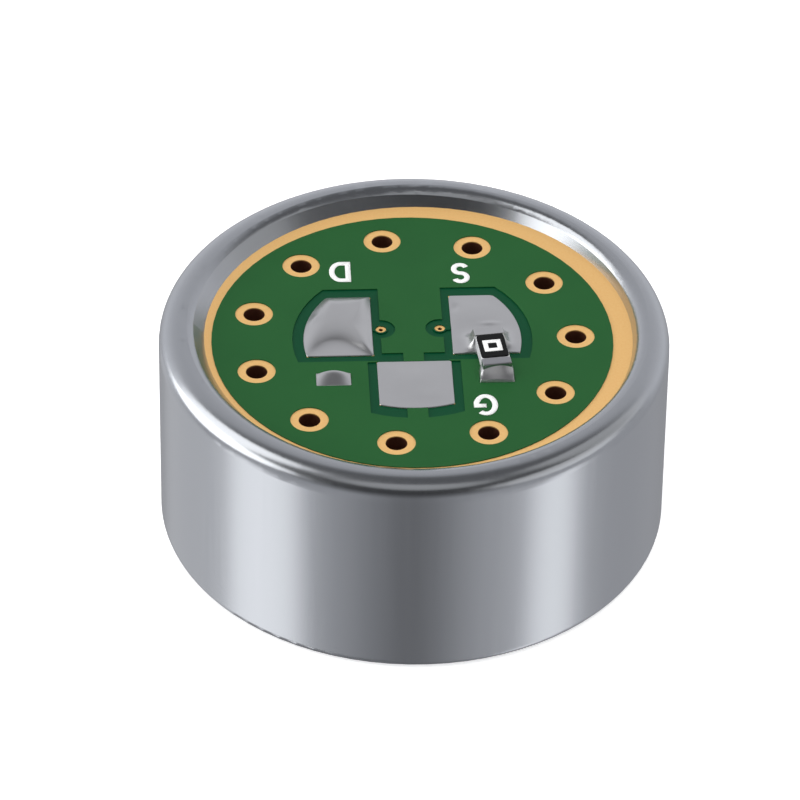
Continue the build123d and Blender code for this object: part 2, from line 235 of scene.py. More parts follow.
@dataclass(frozen=True)
class DrawnAluminium(Grained):
    """Deep-drawn aluminium: the die leaves upright streaks, and the satin skin smears light."""

    grain_detail: float = 5.0
    grain_roughness: float = 0.6
    relief: float = 0.02
    relief_share: float = 0.05
    roughness_swing: float = 0.01
    streak_stretch: float = 0.03
    anisotropy: float = 0.45

    def pattern(self, look: Shading) -> None:
        """Squeezes the place along Z, so that the grain runs up the wall as streaks.

        Args:
            look: The material's nodes.
        """
        squeeze = {"Vector": look.place, "Scale": (1.0, 1.0, self.streak_stretch)}
        squeezed = look.add("Mapping", squeeze).outputs["Vector"]
        around = look.add("Tangent", direction_type="RADIAL", axis="Z")
        smear = {"Anisotropic": self.anisotropy, "Tangent": around.outputs["Tangent"]}
        look.feed(look.shader, smear)
        self.tone(look, self.grain(look, squeezed))


@dataclass(frozen=True)
class SolderMask(Finish):
    """Green epoxy solder mask: clear green over copper, and darker down on bare laminate.

    It is dark up to dark_share of the way from the moat's floor to its top, and green from
    green_share. Its grain is the fine waviness of cured epoxy.
    """

    moat_colour: str = "#00482a"
    moat_floor_mm: float = 0.0
    top_mm: float = 0.0
    dark_share: float = 0.2
    green_share: float = 0.7
    via_places: tuple[tuple[float, float], ...] = ()
    via_clearing_mm: float = 0.40
    via_blur_mm: float = 0.02
    cloud_mm: float = 1.6
    cloud_detail: float = 3.0
    grain_detail: float = 2.0
    relief: float = 0.12
    relief_share: float = 1 / 12

    def pattern(self, look: Shading) -> None:
        """Colours the mask by its level, and as dark round each via as its clearing.

        Args:
            look: The material's nodes.
        """
        level = look.add("SeparateXYZ", {"Vector": look.place}).outputs["Z"]
        step = self.top_mm - self.moat_floor_mm
        dark = (self.moat_floor_mm + self.dark_share * step) * MM
        green = (self.moat_floor_mm + self.green_share * step) * MM
        bright = look.add("MapRange", (level, dark, green)).outputs["Result"]
        flat = look.add("VectorMath", (look.place, (1.0, 1.0, 0.0)), operation="MULTIPLY")
        rim = ((self.via_clearing_mm - self.via_blur_mm) * MM, self.via_clearing_mm * MM)
        for x, y in self.via_places:
            ends = (flat.outputs["Vector"], (x * MM, y * MM, 0.0))
            away = look.add("VectorMath", ends, operation="DISTANCE").outputs["Value"]
            outside = look.add("MapRange", (away, *rim)).outputs["Result"]
            bright = look.add("Math", (bright, outside), operation="MINIMUM").outputs[0]
        scale = per_metre(self.cloud_mm)
        clouds = {"Vector": look.place, "Scale": scale, "Detail": self.cloud_detail}
        clear = self.two_tones(look, look.add("TexNoise", clouds).outputs["Fac"])
        tones = {SHARE: bright, COLOUR_A: linear(self.moat_colour), COLOUR_B: clear}
        colour = look.add("Mix", tones, data_type="RGBA").outputs[COLOUR_OUT]
        self.lay(look, colour, self.grain(look, look.place))


@dataclass(frozen=True)
class GoldOverNickel(Finish):
    """Immersion gold over nickel: matte warm gold, with painted shade that browns it down the
    drilled holes.
    """

    # Painted shade: the brown that the gold fades to down the holes, and the depth over which it
    # fades.
    hole_shade_colour: str = "#5a3426"
    face_mm: float = 0.0
    shade_depth_mm: float = 0.05
    relief: float = 0.15
    relief_share: float = 0.1

    def pattern(self, look: Shading) -> None:
        """Grains the gold in two tones, and paints shade below the copper's face, browning it down
        the holes.

        Args:
            look: The material's nodes.
        """
        grain = self.grain(look, look.place)
        level = look.add("SeparateXYZ", {"Vector": look.place}).outputs["Z"]
        # Painted shade: below the copper's face the gold fades to the hole's shade colour.
        fade = ((self.face_mm - self.shade_depth_mm) * MM, self.face_mm * MM)
        unshaded = look.add("MapRange", (level, *fade))
        gold = self.two_tones(look, grain)
        tones = {SHARE: unshaded.outputs["Result"], COLOUR_A: linear(self.hole_shade_colour), COLOUR_B: gold}
        colour = look.add("Mix", tones, data_type="RGBA").outputs[COLOUR_OUT]
        self.lay(look, colour, grain)


@dataclass(frozen=True)
class WovenScreen(Finish):
    """Black polyester screen in a plain weave: its grain is the thread's pitch."""

    relief: float = 0.8
    relief_share: float = 1 / 3

    def pattern(self, look: Shading) -> None:
        """Crosses two sets of bands, which repeat every 2 pi / (20 * scale).

        Args:
            look: The material's nodes.
        """
        threads = look.add("Math", operation="MAXIMUM")
        pitch = {"Vector": look.place, "Scale": per_metre(self.grain_mm) * math.pi / 10}
        for side, direction in enumerate(("X", "Y")):
            bands = look.add(
                "TexWave", pitch, wave_type="BANDS", bands_direction=direction, wave_profile="SIN"
            )
            look.feed(threads, {side: bands.outputs["Fac"]})
        weave = threads.outputs[0]
        self.lay(look, self.two_tones(look, weave), weave)


# Surfaces


def turned(points: Array, turn_deg: float, middle: Array | tuple[float, ...] = (0, 0)) -> Array:
    """Turns points about +Z to x cos t - y sin t and x sin t + y cos t, and then moves them.

    Args:
        points: Points with X, Y and perhaps Z on their last axis.
        turn_deg: The turn t, in degrees.
        middle: Where the point that they turn about goes.

    Returns:
        The points in their new place.
    """
    cos, sin = math.cos(math.radians(turn_deg)), math.sin(math.radians(turn_deg))
    spun = points.copy()
    spun[..., :2] = points[..., :2] @ np.array([[cos, sin], [-sin, cos]]) + middle
    return spun


def own_axes(
    x: Array, y: Array, middle_x: float, middle_y: float, turn_deg: float
) -> tuple[Array, Array]:
    """Places as a turned form sees them from its middle, across and along itself."""
    away = turned(np.stack([x - middle_x, y - middle_y], axis=-1), -turn_deg)
    return away[..., 0], away[..., 1]


@dataclass
class Skin:
    """A closed mesh as arrays: points in millimetres, and faces by point number."""

    points: Array
    faces: list[list[int]]

    @classmethod
    def over_rings(cls, rings: Array) -> "Skin":
        """Skins rings of points, and closes the first and the last ring with a pole.

        With i the ring and j the place round it, face (i, j) joins points
        i*n + j, i*n + j+1, (i+1)*n + j+1 and (i+1)*n + j, where j wraps at n.

        Args:
            rings: Points as ring, place round the ring, and X, Y, Z.

        Returns:
            The closed skin.
        """
        count, around, _ = rings.shape
        start = np.arange(count - 1)[:, None] * around
        rim = np.arange(around)
        after = (rim + 1) % around
        corners = [start + rim, start + after, start + around + after, start + around + rim]
        quads = np.stack(corners, axis=-1).reshape(-1, 4)
        pole = np.full(around, count * around)
        last = (count - 1) * around
        first_cap = np.stack([pole, after, rim], axis=-1)
        last_cap = np.stack([pole + 1, last + rim, last + after], axis=-1)
        points = np.concatenate([rings.reshape(-1, 3), rings[[0, -1]].mean(1)])
        return cls(points, quads.tolist() + first_cap.tolist() + last_cap.tolist())

    @classmethod
    def along_path(cls, path: Array, width: float, low: float, high: float, closed: bool) -> "Skin":
        """Carries a flat rectangle along a path, with mitred corners.

        With m the mean direction at a point, the edge stands off square to m by
        width / (2 cos a), where a is half the turn there and cos a is taken as 0.3 or more.

        Args:
            path: The stroke's middle line, as X and Y.
            width: The stroke's width.
            low: The level of its underside.
            high: The level of its upper side.
            closed: Whether the path's end joins its start.

        Returns:
            The stroke as a closed skin.
        """
        runs = np.roll(path, -1, axis=0) - path
        runs /= np.linalg.norm(runs, axis=1, keepdims=True)
        before = np.roll(runs, 1, axis=0)
        if not closed:
            runs[-1] = before[-1]
            before[0] = runs[0]
        mean = runs + before
        mean /= np.linalg.norm(mean, axis=1, keepdims=True)
        half_turn = np.clip((mean * runs).sum(1), 0.3, 1)
        side = np.stack([-mean[:, 1], mean[:, 0]], axis=1) * (width / 2 / half_turn)[:, None]
        corners = [(side, low), (-side, low), (-side, high), (side, high)]
        ring = np.stack(
            [np.column_stack([path + s, np.full(len(path), z)]) for s, z in corners], axis=1
        )
        if not closed:
            return cls.over_rings(ring)
        # The first ring comes again at the end, is merged with itself, and needs no poles.
        skin = cls.over_rings(np.concatenate([ring, ring[:1]]))
        count = len(path) * 4
        faces = [[point % count for point in face] for face in skin.faces if max(face) < count + 4]
        return cls(skin.points[:count], faces)

    def with_(self, other: "Skin") -> "Skin":
        """This skin and another as one."""
        shifted = [[point + len(self.points) for point in face] for face in other.faces]
        return Skin(np.concatenate([self.points, other.points]), self.faces + shifted)


def add_object(name: str, skin: Skin, finish: Finish) -> bpy.types.Object:
    """Makes a skin a smooth Blender object.

    Args:
        name: The object's name.
        skin: Its surface.
        finish: Its material.

    Returns:
        The object, at the origin, with its place in its mesh.
    """
    mesh = bpy.data.meshes.new(name)
    mesh.from_pydata((skin.points * MM).tolist(), [], skin.faces)
    mesh.polygons.foreach_set("use_smooth", np.ones(len(mesh.polygons), dtype=bool))
    mesh.materials.append(finish.material())
    made = bpy.data.objects.new(name, mesh)
    bpy.context.scene.collection.objects.link(made)
    return made


def make_piece(name: str, skin: Skin, finish: Finish, stands_for: tuple[str, ...] = ()) -> None:
    """Makes a skin a piece that rides on the capsule, with its faces outwards.

    Args:
        name: The piece's name.
        skin: Its surface.
        finish: Its material.
        stands_for: The frame's nodes that it replaces.
    """
    piece = add_object(name, skin, finish)
    shell = bmesh.new()
    shell.from_mesh(piece.data)
    bmesh.ops.recalc_face_normals(shell, faces=shell.faces)
    shell.to_mesh(piece.data)
    shell.free()
    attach(piece, "root")
    if stands_for:
        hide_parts(*stands_for)
    log.info("%s: %d faces in %s", name, len(skin.faces), finish.name)


def dress(finish: Finish, *nodes: str) -> None:
    """Gives nodes of the frame their finish.

    Args:
        finish: The finish.
        nodes: The nodes that wear it.
    """
    for node in nodes:
        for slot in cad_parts[node].material_slots:
            slot.material = finish.material()
        log.info("%s: dressed in %s", node, finish.name)


# The board's own frame


def middle_of(node: str) -> Array:
    """The middle of a node's box, seen from above."""
    low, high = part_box(node)
    return np.array([low.x + high.x, low.y + high.y]) / 2 / MM


def top_of(node: str) -> float:
    """The level of a node's top."""
    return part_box(node)[1].z / MM


@dataclass
class BoardPlace:
    """Where the printed board lies in the can: its middle, its turn and its levels."""

    turn_deg: float = 3.2
    via_left: float = -0.845
    via_right: float = 0.775
    via_y: float = 0.47
    middle: Array = field(init=False)
    copper_top: float = field(init=False)
    mask_top: float = field(init=False)
    moat_floor: float = field(init=False)

    def __post_init__(self) -> None:
        """Reads the board's middle and levels from the frame."""
        self.middle = middle_of("board_base")
        self.copper_top = top_of("ground_copper")
        self.mask_top = top_of("rear_mask")
        self.moat_floor = top_of("board_base") + self.mask_top - self.copper_top

    def in_frame(self, points: Array) -> Array:
        """Points carried from the board's own frame to the capsule's."""
        return turned(points, self.turn_deg, self.middle)

    def on_board(self, node: str) -> tuple[float, float]:
        """The middle of a node of the frame, in the board's own frame."""
        return own_axes(*middle_of(node), *self.middle, self.turn_deg)

    def via_places(self) -> tuple[tuple[float, float], ...]:
        """The middles of the two small vias, in the capsule's frame."""
        vias = self.in_frame(np.array([[self.via_left, self.via_y], [self.via_right, self.via_y]]))
        return tuple((float(x), float(y)) for x, y in vias)

    def skin_in_frame(self, skin: Skin) -> Skin:
        """A skin carried from the board's own frame to the capsule's."""
        return Skin(self.in_frame(skin.points), skin.faces)


# Tin


@dataclass(frozen=True)
class Outline:
    """A pad's edge: a box between two corners, cut by a circle about the board's middle."""

    left: float
    right: float
    bottom: float
    top: float
    radius: float = 100.0
    corner_power: float = 60.0

    def reach(self, angles: Array, x: float, y: float) -> Array:
        """Distance from a point inside to the edge, in each direction.

        Each side alone is met at r_i. The edge is at (sum of r_i^-p)^(-1/p), which is the
        nearest of them with its corners eased.

        Args:
            angles: The directions, in radians.
            x: The point's place across.
            y: The point's place up the board.

        Returns:
            One distance for each direction.
        """
        cos, sin = np.cos(angles), np.sin(angles)
        along = x * cos + y * sin
        arc = -along + np.sqrt(along**2 + self.radius**2 - x**2 - y**2)
        closeness = [
            np.maximum(cos, 0) / (self.right - x),
            np.maximum(-cos, 0) / (x - self.left),
            np.maximum(sin, 0) / (self.top - y),
            np.maximum(-sin, 0) / (y - self.bottom),
            1 / arc,
        ]
        power = self.corner_power
        return sum(c**power for c in closeness) ** (-1 / power)


@dataclass(frozen=True)
class Swell:
    """A soft rise or dip: height * exp(-(u/length)^2 - (v/width)^2) along its own axes."""

    x: float
    y: float
    length: float
    width: float
    height: float
    turn_deg: float = 0.0

    def at(self, x: Array, y: Array) -> Array:
        """The rise at each place."""
        u, v = own_axes(x, y, self.x, self.y, self.turn_deg)
        return self.height * np.exp(-((u / self.length) ** 2) - (v / self.width) ** 2)


@dataclass(frozen=True)
class Brow:
    """An arched fall, steepest on the arch y = top - bend * (x - x0)^2.

    With d the height of a place over the arch, the tin stands at slope * below * exp(d / below)
    under it, and at slope * (below + above * (1 - exp(-d / above))) over it.
    """

    x: float
    top: float
    bend: float
    above: float
    below: float
    slope: float

    def at(self, x: Array, y: Array) -> Array:
        """The rise at each place."""
        over = y - self.top + self.bend * (x - self.x) ** 2
        return self.slope * (
            self.below * np.exp(np.minimum(over, 0) / self.below)
            + self.above * (1 - np.exp(-np.maximum(over, 0) / self.above))
        )


@dataclass(frozen=True)
class ChipEnd:
    """One end of the chip, as the tin meets it: a turned box, up which the tin climbs."""

    x: float
    y: float
    turn_deg: float
    half_width: float
    half_length: float
    climb: float
    spread: float

    def gap(self, x: Array, y: Array) -> Array:
        """Distance of each place from the box's sides, and nought inside it."""
        u, v = own_axes(x, y, self.x, self.y, self.turn_deg)
        beyond = [np.abs(u) - self.half_width, np.abs(v) - self.half_length]
        return np.hypot(*np.maximum(beyond, 0))

    def outline(self, angles: Array) -> Array:
        """Distance from the box's middle to its side, in each direction."""
        own = angles - math.radians(self.turn_deg)
        sides = [np.abs(np.cos(own)) / self.half_width, np.abs(np.sin(own)) / self.half_length]
        return 1 / np.maximum(*sides)


@dataclass
class Tin:
    """Reflowed tin on one pad, as a surface of ring and angle about a middle.

    Its height over the pad is the coat's thickness, less the rounding at the edge, plus the
    relief, the crown and the climb to a chip.
    """

    name: str
    stands_for: str
    outline: Outline
    x: float
    y: float
    relief: tuple[Swell | Brow, ...] = ()
    relief_fade: float = 0.6
    crown: float = 0.0
    crown_power: int = 8
    crown_scale: float = 1.48
    chip_end: ChipEnd | None = None
    climb_fade: float = 1.5
    thickness: float = 0.03
    edge_round: float = 0.025
    around: int = 224
    rings: int = 96
    chip_rings: int = 12

    def ring_reach(self, angles: Array, edge: Array) -> Array:
        """How far from the middle each ring lies at each angle.

        With s from nought to one, the rings lie at 1 - (1 - s)^1.7 of the way to the edge.
        Round a chip they go evenly to its side, and then on at
        s^1.6 * (1 - s) + s * (1 - (1 - s)^1.5), so they crowd at the chip and at the edge.

        Args:
            angles: The directions, in radians.
            edge: How far the pad's edge is in each.

        Returns:
            One distance for each ring and direction.
        """
        if self.chip_end is None:
            steps = np.linspace(0.02, 1, self.rings)
            return (1 - (1 - steps) ** 1.7)[:, None] * edge
        box = self.chip_end.outline(angles)
        inner = np.linspace(0.1, 1, self.chip_rings)[:, None] * box
        out = np.linspace(0, 1, self.rings)[1:, None]
        eased = out**1.6 * (1 - out) + out * (1 - (1 - out) ** 1.5)
        return np.concatenate([inner, box + eased * (edge - box)])

    def height(self, x: Array, y: Array, to_edge: Array) -> Array:
        """Height of the tin over its pad.

        Near the edge the section is a quarter circle of radius e: t - e + sqrt(e^2 - (e - d)^2),
        with d the distance to the edge. The relief comes in as a quarter of a sine. The crown
        is (1 - u^2) * k * s * (1 - s^p), with u the way to the side, s the way from the front
        edge to the back one, and k what brings its peak to one. The climb to a chip falls off
        as exp(-gap / spread).

        Args:
            x: Places across the board.
            y: Places up the board.
            to_edge: Distance of each place from the pad's edge.

        Returns:
            The height at each place.
        """
        radius = self.edge_round
        near = np.minimum(to_edge, radius)
        body = self.thickness - radius + np.sqrt(np.maximum(radius**2 - (radius - near) ** 2, 0))
        fade = np.sin(np.clip(to_edge / self.relief_fade, 0, 1) * np.pi / 2)
        for form in self.relief:
            body = body + form.at(x, y) * fade
        if self.crown:
            pad = self.outline
            u = np.clip(np.abs(x - self.x) / (pad.right - pad.left) * 2, 0, 1)
            s = (y - pad.bottom) / (pad.top - pad.bottom)
            body = body + self.crown * (1 - u**2) * self.crown_scale * s * (1 - s**self.crown_power)
        if self.chip_end is not None:
            gap = self.chip_end.gap(x, y)
            climb = (self.chip_end.climb - self.thickness) * np.exp(-gap / self.chip_end.spread)
            body = body + climb * np.clip(to_edge / (self.climb_fade * radius), 0, 1)
        return body

    def skin(self, place: BoardPlace) -> Skin:
        """Makes the tin's surface, closed by two flat rings on the pad.

        Args:
            place: Where the board lies.

        Returns:
            The closed surface in the capsule's frame.
        """
        angles = np.linspace(0, 2 * np.pi, self.around, endpoint=False)
        edge = self.outline.reach(angles, self.x, self.y)
        reach = self.ring_reach(angles, edge)
        x, y = self.x + reach * np.cos(angles), self.y + reach * np.sin(angles)
        top = np.stack([x, y, place.copper_top + self.height(x, y, edge - reach)], axis=-1)
        under = top[[-1, len(top) // 2]].copy()
        under[..., 2] = place.copper_top
        return place.skin_in_frame(Skin.over_rings(np.concatenate([top, under])))


# Printed marks


class Letter(Enum):
    """The generic marks of the three terminals."""

    DRAIN = "D"
    SOURCE = "S"
    GROUND = "G"


@dataclass
class TerminalMark:
    """A terminal's letter in white screen ink, upside down to the viewer as on the real board."""

    letter: Letter
    x: float
    y: float
    width: float
    height: float = 0.90
    stroke: float = 0.15
    ink: float = 0.012
    points: int = 40

    def arc(self, x: float, y: float, across: float, up: float, start: float, stop: float) -> Array:
        """Points of (x + across cos t, y + up sin t) from start to stop, in degrees."""
        t = np.radians(np.linspace(start, stop, self.points))
        return np.column_stack([x + across * np.cos(t), y + up * np.sin(t)])

    def path(self) -> tuple[Array, bool]:
        """Draws the letter's one stroke, of arcs and corners, about its middle.

        Returns:
            The stroke's middle line, and whether its end joins its start.
        """
        half_wide = (self.width - self.stroke) / 2
        half_high = (self.height - self.stroke) / 2
        if self.letter is Letter.DRAIN:
            bowl_x = -half_wide + 0.32 * self.width
            bowl = self.arc(bowl_x, 0, half_wide - bowl_x, half_high, 90, -90)
            stem = [[-half_wide, -half_high], [-half_wide, half_high]]
            return np.concatenate([bowl, stem]), True
        if self.letter is Letter.SOURCE:
            bowl_high = half_high / 2
            upper = self.arc(0, bowl_high, half_wide, bowl_high, 25, 262)
            lower = self.arc(0, -bowl_high, half_wide, bowl_high, 82, -155)
            return np.concatenate([upper, lower]), False
        bowl = self.arc(0, 0, half_wide, half_high, 52, 318)
        bar_low, bar_high, bar_end = -0.12 * self.height, 0.04 * self.height, -0.02 * self.width
        bar = [[half_wide, bar_low], [half_wide, bar_high], [bar_end, bar_high]]
        return np.concatenate([bowl, bar]), False

    def skin(self, place: BoardPlace) -> Skin:
        """Makes the letter's surface on the mask.

        Args:
            place: Where the board lies.

        Returns:
            The closed surface in the capsule's frame.
        """
        path, closed = self.path()
        low, high = place.mask_top, place.mask_top + self.ink
        upside_down = np.array([self.x, self.y]) - path
        return place.skin_in_frame(Skin.along_path(upside_down, self.stroke, low, high, closed))


# Finishes of this capsule


@dataclass
class Palette:
    """Every finish on the capsule, by the piece's real material."""

    place: BoardPlace
    mask: SolderMask = field(init=False)
    gold: GoldOverNickel = field(init=False)
    # Deep-drawn, unpolished aluminium: reflections smear along the wall but stay readable.
    case: Finish = DrawnAluminium(
        "drawn_aluminium", "case_metal", "#c2c5ca", "#c8cbcf", 0.25, 0.16, 1.0
    )
    # Solder that cooled by itself: soft satin with a faint crystalline cloud.
    tin: Finish = Grained(
        "reflowed_tin", "solder", "#d8d8d9", "#dfdfe0", 0.34, 0.5, 1.0,
        relief=0.02, roughness_swing=0.02,
    )
    # Electroplated matte tin: a greyer gleam with a fine grain.
    tinned: Finish = Grained(
        "tin_plate", "tinned_ends", "#b0b0b4", "#bcbcc0", 0.34, 0.06, 1.0, roughness_swing=0.03
    )
    # Fired alumina: dull white, with a powdery grain.
    ceramic: Finish = Grained("alumina_ceramic", "chip_ceramic", "#d9d9dc", "#e4e4e6", 0.6, 0.02)
    # Printed and fired glass glaze: nearly black, with a low sheen.
    overcoat: Finish = Grained(
        "black_glass_coat", "black_overcoat", "#080809", "#0e0e0f", 0.45, 0.03, specular=0.2
    )
    # Screen-printed epoxy ink: flat and bright white.
    ink: Finish = Grained("white_screen_ink", "chip_ceramic", "#fbfbf8", "#ffffff", 0.6, 0.03)
    # Glass cloth in epoxy, routed at its edge: straw with a fibrous mottle.
    laminate: Finish = Grained(
        "glass_epoxy_laminate", "board_laminate", "#a89a66", "#b8aa76", 0.5, 0.12
    )
    # Pressed fibres: brown-black without any gloss.
    felt: Finish = Grained(
        "brown_black_felt", "felt", "#3a2018", "#5c3226", 0.95, 0.03, relief=0.6
    )
    # Turned brass: a warm satin gleam.
    brass: Finish = Grained("satin_brass", "brass", "#c8a45c", "#d2b06a", 0.34, 0.08, 1.0)
    # Moulded nylon: dull black with the mould's fine texture.
    moulding: Finish = Grained(
        "black_nylon_moulding", "black_moulding", "#101011", "#18181a", 0.5, 0.05
    )
    # Film with metal vapour laid on it: nearly a mirror.
    film: Finish = Grained(
        "metallised_film", "metallised_film", "#d5d5d6", "#dededf", 0.12, 0.4, 1.0
    )
    # Cast fluoropolymer: pale and glossy.
    clear: Finish = Grained("clear_fluoropolymer", "clear_film", "#d0d4d8", "#d8dce0", 0.2, 0.4)
    # Fired titanate ceramic: matte tan.
    capacitor: Finish = Grained(
        "barium_titanate", "capacitor_ceramic", "#9c7448", "#a87e50", 0.6, 0.05
    )
    # Woven thread at its real pitch, which shows through the sound holes.
    screen: Finish = WovenScreen(
        "woven_polyester", "woven_screen", "#050505", "#2a2a2c", 0.8, 0.11
    )

    def __post_init__(self) -> None:
        """Makes the two finishes that follow the board's levels."""
        # Photo-imaged epoxy, cured: semi-gloss green that hides the copper's grain.
        self.mask = SolderMask(
            "green_solder_mask", "solder_mask", "#1e582a", "#235e2d", 0.42, 0.09,
            specular=0.15,
            moat_floor_mm=self.place.moat_floor,
            top_mm=self.place.mask_top,
            via_places=self.place.via_places(),
        )
        # A thin chemical gold: warm and matte, because the nickel under it is rough.
        self.gold = GoldOverNickel(
            "immersion_gold", "gilded_copper", "#efb86c", "#f7cc88", 0.5, 0.06, 0.3,
            face_mm=self.place.copper_top,
        )


# Sub-assemblies


@dataclass
class ChipResistor:
    """The zero-ohm chip: ceramic core, wrapped tinned ends, black coat and its printed nought."""

    place: BoardPlace
    turn_deg: float = 6.8
    width: float = 0.80
    length: float = 1.60
    end_length: float = 0.30
    end_ease: float = 0.03
    ease: float = 0.02
    core_width: float = 0.78
    core_length: float = 1.56
    coat_width: float = 0.76
    coat_length: float = 0.98
    coat_depth: float = 0.03
    mark_width: float = 0.37
    mark_length: float = 0.36
    mark_stroke: float = 0.13
    mark_levels: tuple[float, float] = (-0.002, 0.004)
    corner_power: int = 14
    ease_steps: int = 6
    around: int = 96
    x: float = field(init=False)
    y: float = field(init=False)

    def __post_init__(self) -> None:
        """Reads the chip's middle from the frame."""
        self.x, self.y = self.place.on_board("chip_overcoat")

    def box_skin(
        self, middle_y: float, width: float, length: float, low: float, high: float, ease: float
    ) -> Skin:
        """A box with eased edges: superellipse rings |x/a|^p + |y/b|^p = 1, drawn in at its ends.

        Args:
            middle_y: The box's middle along the chip.
            width: Its size across the chip.
            length: Its size along the chip.
            low: The level of its underside.
            high: The level of its upper side.
            ease: The radius of its edges.

        Returns:
            The box about the chip's own middle.
        """
        t = np.linspace(0, 2 * np.pi, self.around, endpoint=False)
        quarter = np.linspace(0, np.pi / 2, self.ease_steps)
        inset = ease * (1 - np.sin(quarter))
        rise = ease * (1 - np.cos(quarter))
        flat = [width / 4, width / 8]
        insets = np.concatenate([flat, inset, inset[::-1], flat[::-1]])
        levels = np.concatenate([[low, low], low + rise, high - rise[::-1], [high, high]])
        power = self.corner_power
        a = width / 2 - insets[:, None]
        b = length / 2 - insets[:, None]
        reach = (np.abs(np.cos(t) / a) ** power + np.abs(np.sin(t) / b) ** power) ** (-1 / power)
        x, y = reach * np.cos(t), middle_y + reach * np.sin(t)
        return Skin.over_rings(np.stack([x, y, np.broadcast_to(levels[:, None], x.shape)], axis=-1))

    def end(self, side: int, climb: float, spread: float) -> ChipEnd:
        """One end of the chip, as the tin meets it.

        Args:
            side: The upper end (1) or the lower (-1).
            climb: The height over the pad that the tin reaches.
            spread: How far out the climb falls off.

        Returns:
            The end, in the board's own frame.
        """
        off = side * (self.length - self.end_length) / 2
        x, y = turned(np.array([0.0, off]), self.turn_deg, (self.x, self.y))
        return ChipEnd(x, y, self.turn_deg, self.width / 2, self.end_length / 2, climb, spread)

    def add_piece(self, name: str, skin: Skin, finish: Finish, *stands_for: str) -> None:
        """Makes a piece of a skin that is drawn about the chip's own middle."""
        on_board = Skin(turned(skin.points, self.turn_deg, (self.x, self.y)), skin.faces)
        make_piece(name, self.place.skin_in_frame(on_board), finish, stands_for)

    def build(self, finishes: Palette) -> None:
        """Makes the chip's pieces.

        Args:
            finishes: The capsule's finishes.
        """
        low, high, top = self.place.mask_top, top_of("chip_terminals"), top_of("chip_overcoat")
        ease, off = self.ease, (self.length - self.end_length) / 2
        core = self.box_skin(0, self.core_width, self.core_length, low + ease, high - ease, ease)
        self.add_piece("chip_ceramic", core, finishes.ceramic, "chip_body")
        near, far = (
            self.box_skin(middle, self.width, self.end_length, low, high, self.end_ease)
            for middle in (off, -off)
        )
        self.add_piece("chip_tinned_ends", near.with_(far), finishes.tinned, "chip_terminals")
        under = high - self.coat_depth
        coat = self.box_skin(0, self.coat_width, self.coat_length, under, top, ease)
        self.add_piece("chip_coat", coat, finishes.overcoat, "chip_overcoat")
        half = np.array([self.mark_width, self.mark_length]) / 2
        loop = half * np.array([[-1, -1], [1, -1], [1, 1], [-1, 1]])
        levels = (top + level for level in self.mark_levels)
        mark = Skin.along_path(loop, self.mark_stroke, *levels, closed=True)
        self.add_piece("chip_mark", mark, finishes.ink)


@dataclass
class TerminalBoard:
    """The printed board's rear side: mask, gold, laminate and the terminals' letters."""

    place: BoardPlace
    finishes: Palette
    marks: tuple[TerminalMark, ...] = (
        TerminalMark(Letter.DRAIN, -1.87, 3.05, 0.60),
        TerminalMark(Letter.SOURCE, 1.47, 2.90, 0.50),
        TerminalMark(Letter.GROUND, 1.85, -2.918, 0.65),
    )

    def build(self) -> None:
        """Dresses the board's nodes and prints its letters."""
        coppers = ("ground_copper", "pad_copper", "inner_copper", "vent_barrels", "via_barrels")
        dress(self.finishes.mask, "rear_mask", "inner_mask")
        dress(self.finishes.gold, *coppers)
        dress(self.finishes.laminate, "board_base")
        for mark in self.marks:
            make_piece(f"mark_{mark.letter.name.lower()}", mark.skin(self.place), self.finishes.ink)


@dataclass
class TinWork:
    """All the tin of the rear side. A pad's outer side is its circle, and beyond lies past it."""

    place: BoardPlace
    finishes: Palette
    chip: ChipResistor
    pad_inner: float = 1.08
    pad_top: float = 1.91
    pad_bottom: float = -0.67
    pad_radius: float = 2.99
    beyond: float = 5.0
    ground_half: float = 1.02
    ground_top: float = -0.96
    land_x: float = 2.22
    land_y: float = -1.69
    land_half_width: float = 0.48
    land_half_depth: float = 0.27

    def land(self, x: float) -> Outline:
        """The outline of the land at this place across."""
        wide, deep = self.land_half_width, self.land_half_depth
        return Outline(x - wide, x + wide, self.land_y - deep, self.land_y + deep)

    def coats(self) -> list[Tin]:
        """Shapes the tin of each pad and land.

        Returns:
            The five coats.
        """
        chip_top = top_of("chip_terminals") - self.place.copper_top
        upper = self.chip.end(1, chip_top + 0.015, 0.13)
        lower = self.chip.end(-1, chip_top - 0.22, 0.30)
        far, inner, half, radius = self.beyond, self.pad_inner, self.ground_half, self.pad_radius
        drain = Outline(-far, -inner, self.pad_bottom, self.pad_top, radius)
        source = Outline(inner, far, self.pad_bottom, self.pad_top, radius)
        ground = Outline(-half, half, -far, self.ground_top, radius)
        left, right = -self.land_x, self.land_x
        on_drain = (
            Brow(-2.10, 0.0, 0.9, 0.42, 0.18, 0.38),
            Swell(-2.68, 0.86, 0.20, 0.15, 0.05, 65),
        )
        on_source = (
            Swell(1.20, 1.34, 0.12, 0.15, -0.05),
            Swell(1.70, 1.0, 0.8, 0.7, 0.05),
            Swell(2.16, 0.60, 0.24, 0.08, 0.025, 3),
        )
        on_ground = (Swell(-0.1, -1.75, 0.8, 0.6, 0.03), Swell(0.4, -2.4, 0.5, 0.3, 0.012))
        spare, used = self.land(left), self.land(right)
        return [
            Tin("tin_drain", "drain_solder", drain, -1.95, 0.55, on_drain),
            Tin("tin_source", "source_solder", source, upper.x, upper.y, on_source, chip_end=upper),
            Tin("tin_ground", "ground_solder", ground, 0.0, -2.0, on_ground),
            Tin("tin_spare_land", "spare_land_solder", spare, left, self.land_y, crown=0.18),
            Tin(
                "tin_chip_land", "chip_land_solder", used, lower.x, lower.y,
                crown=0.19, chip_end=lower,
            ),
        ]

    def build(self) -> None:
        """Makes the tin's pieces."""
        for coat in self.coats():
            make_piece(coat.name, coat.skin(self.place), self.finishes.tin, (coat.stands_for,))


@dataclass
class Can:
    """The drawn case."""

    finishes: Palette

    def build(self) -> None:
        """Dresses the case."""
        dress(self.finishes.case, "case")


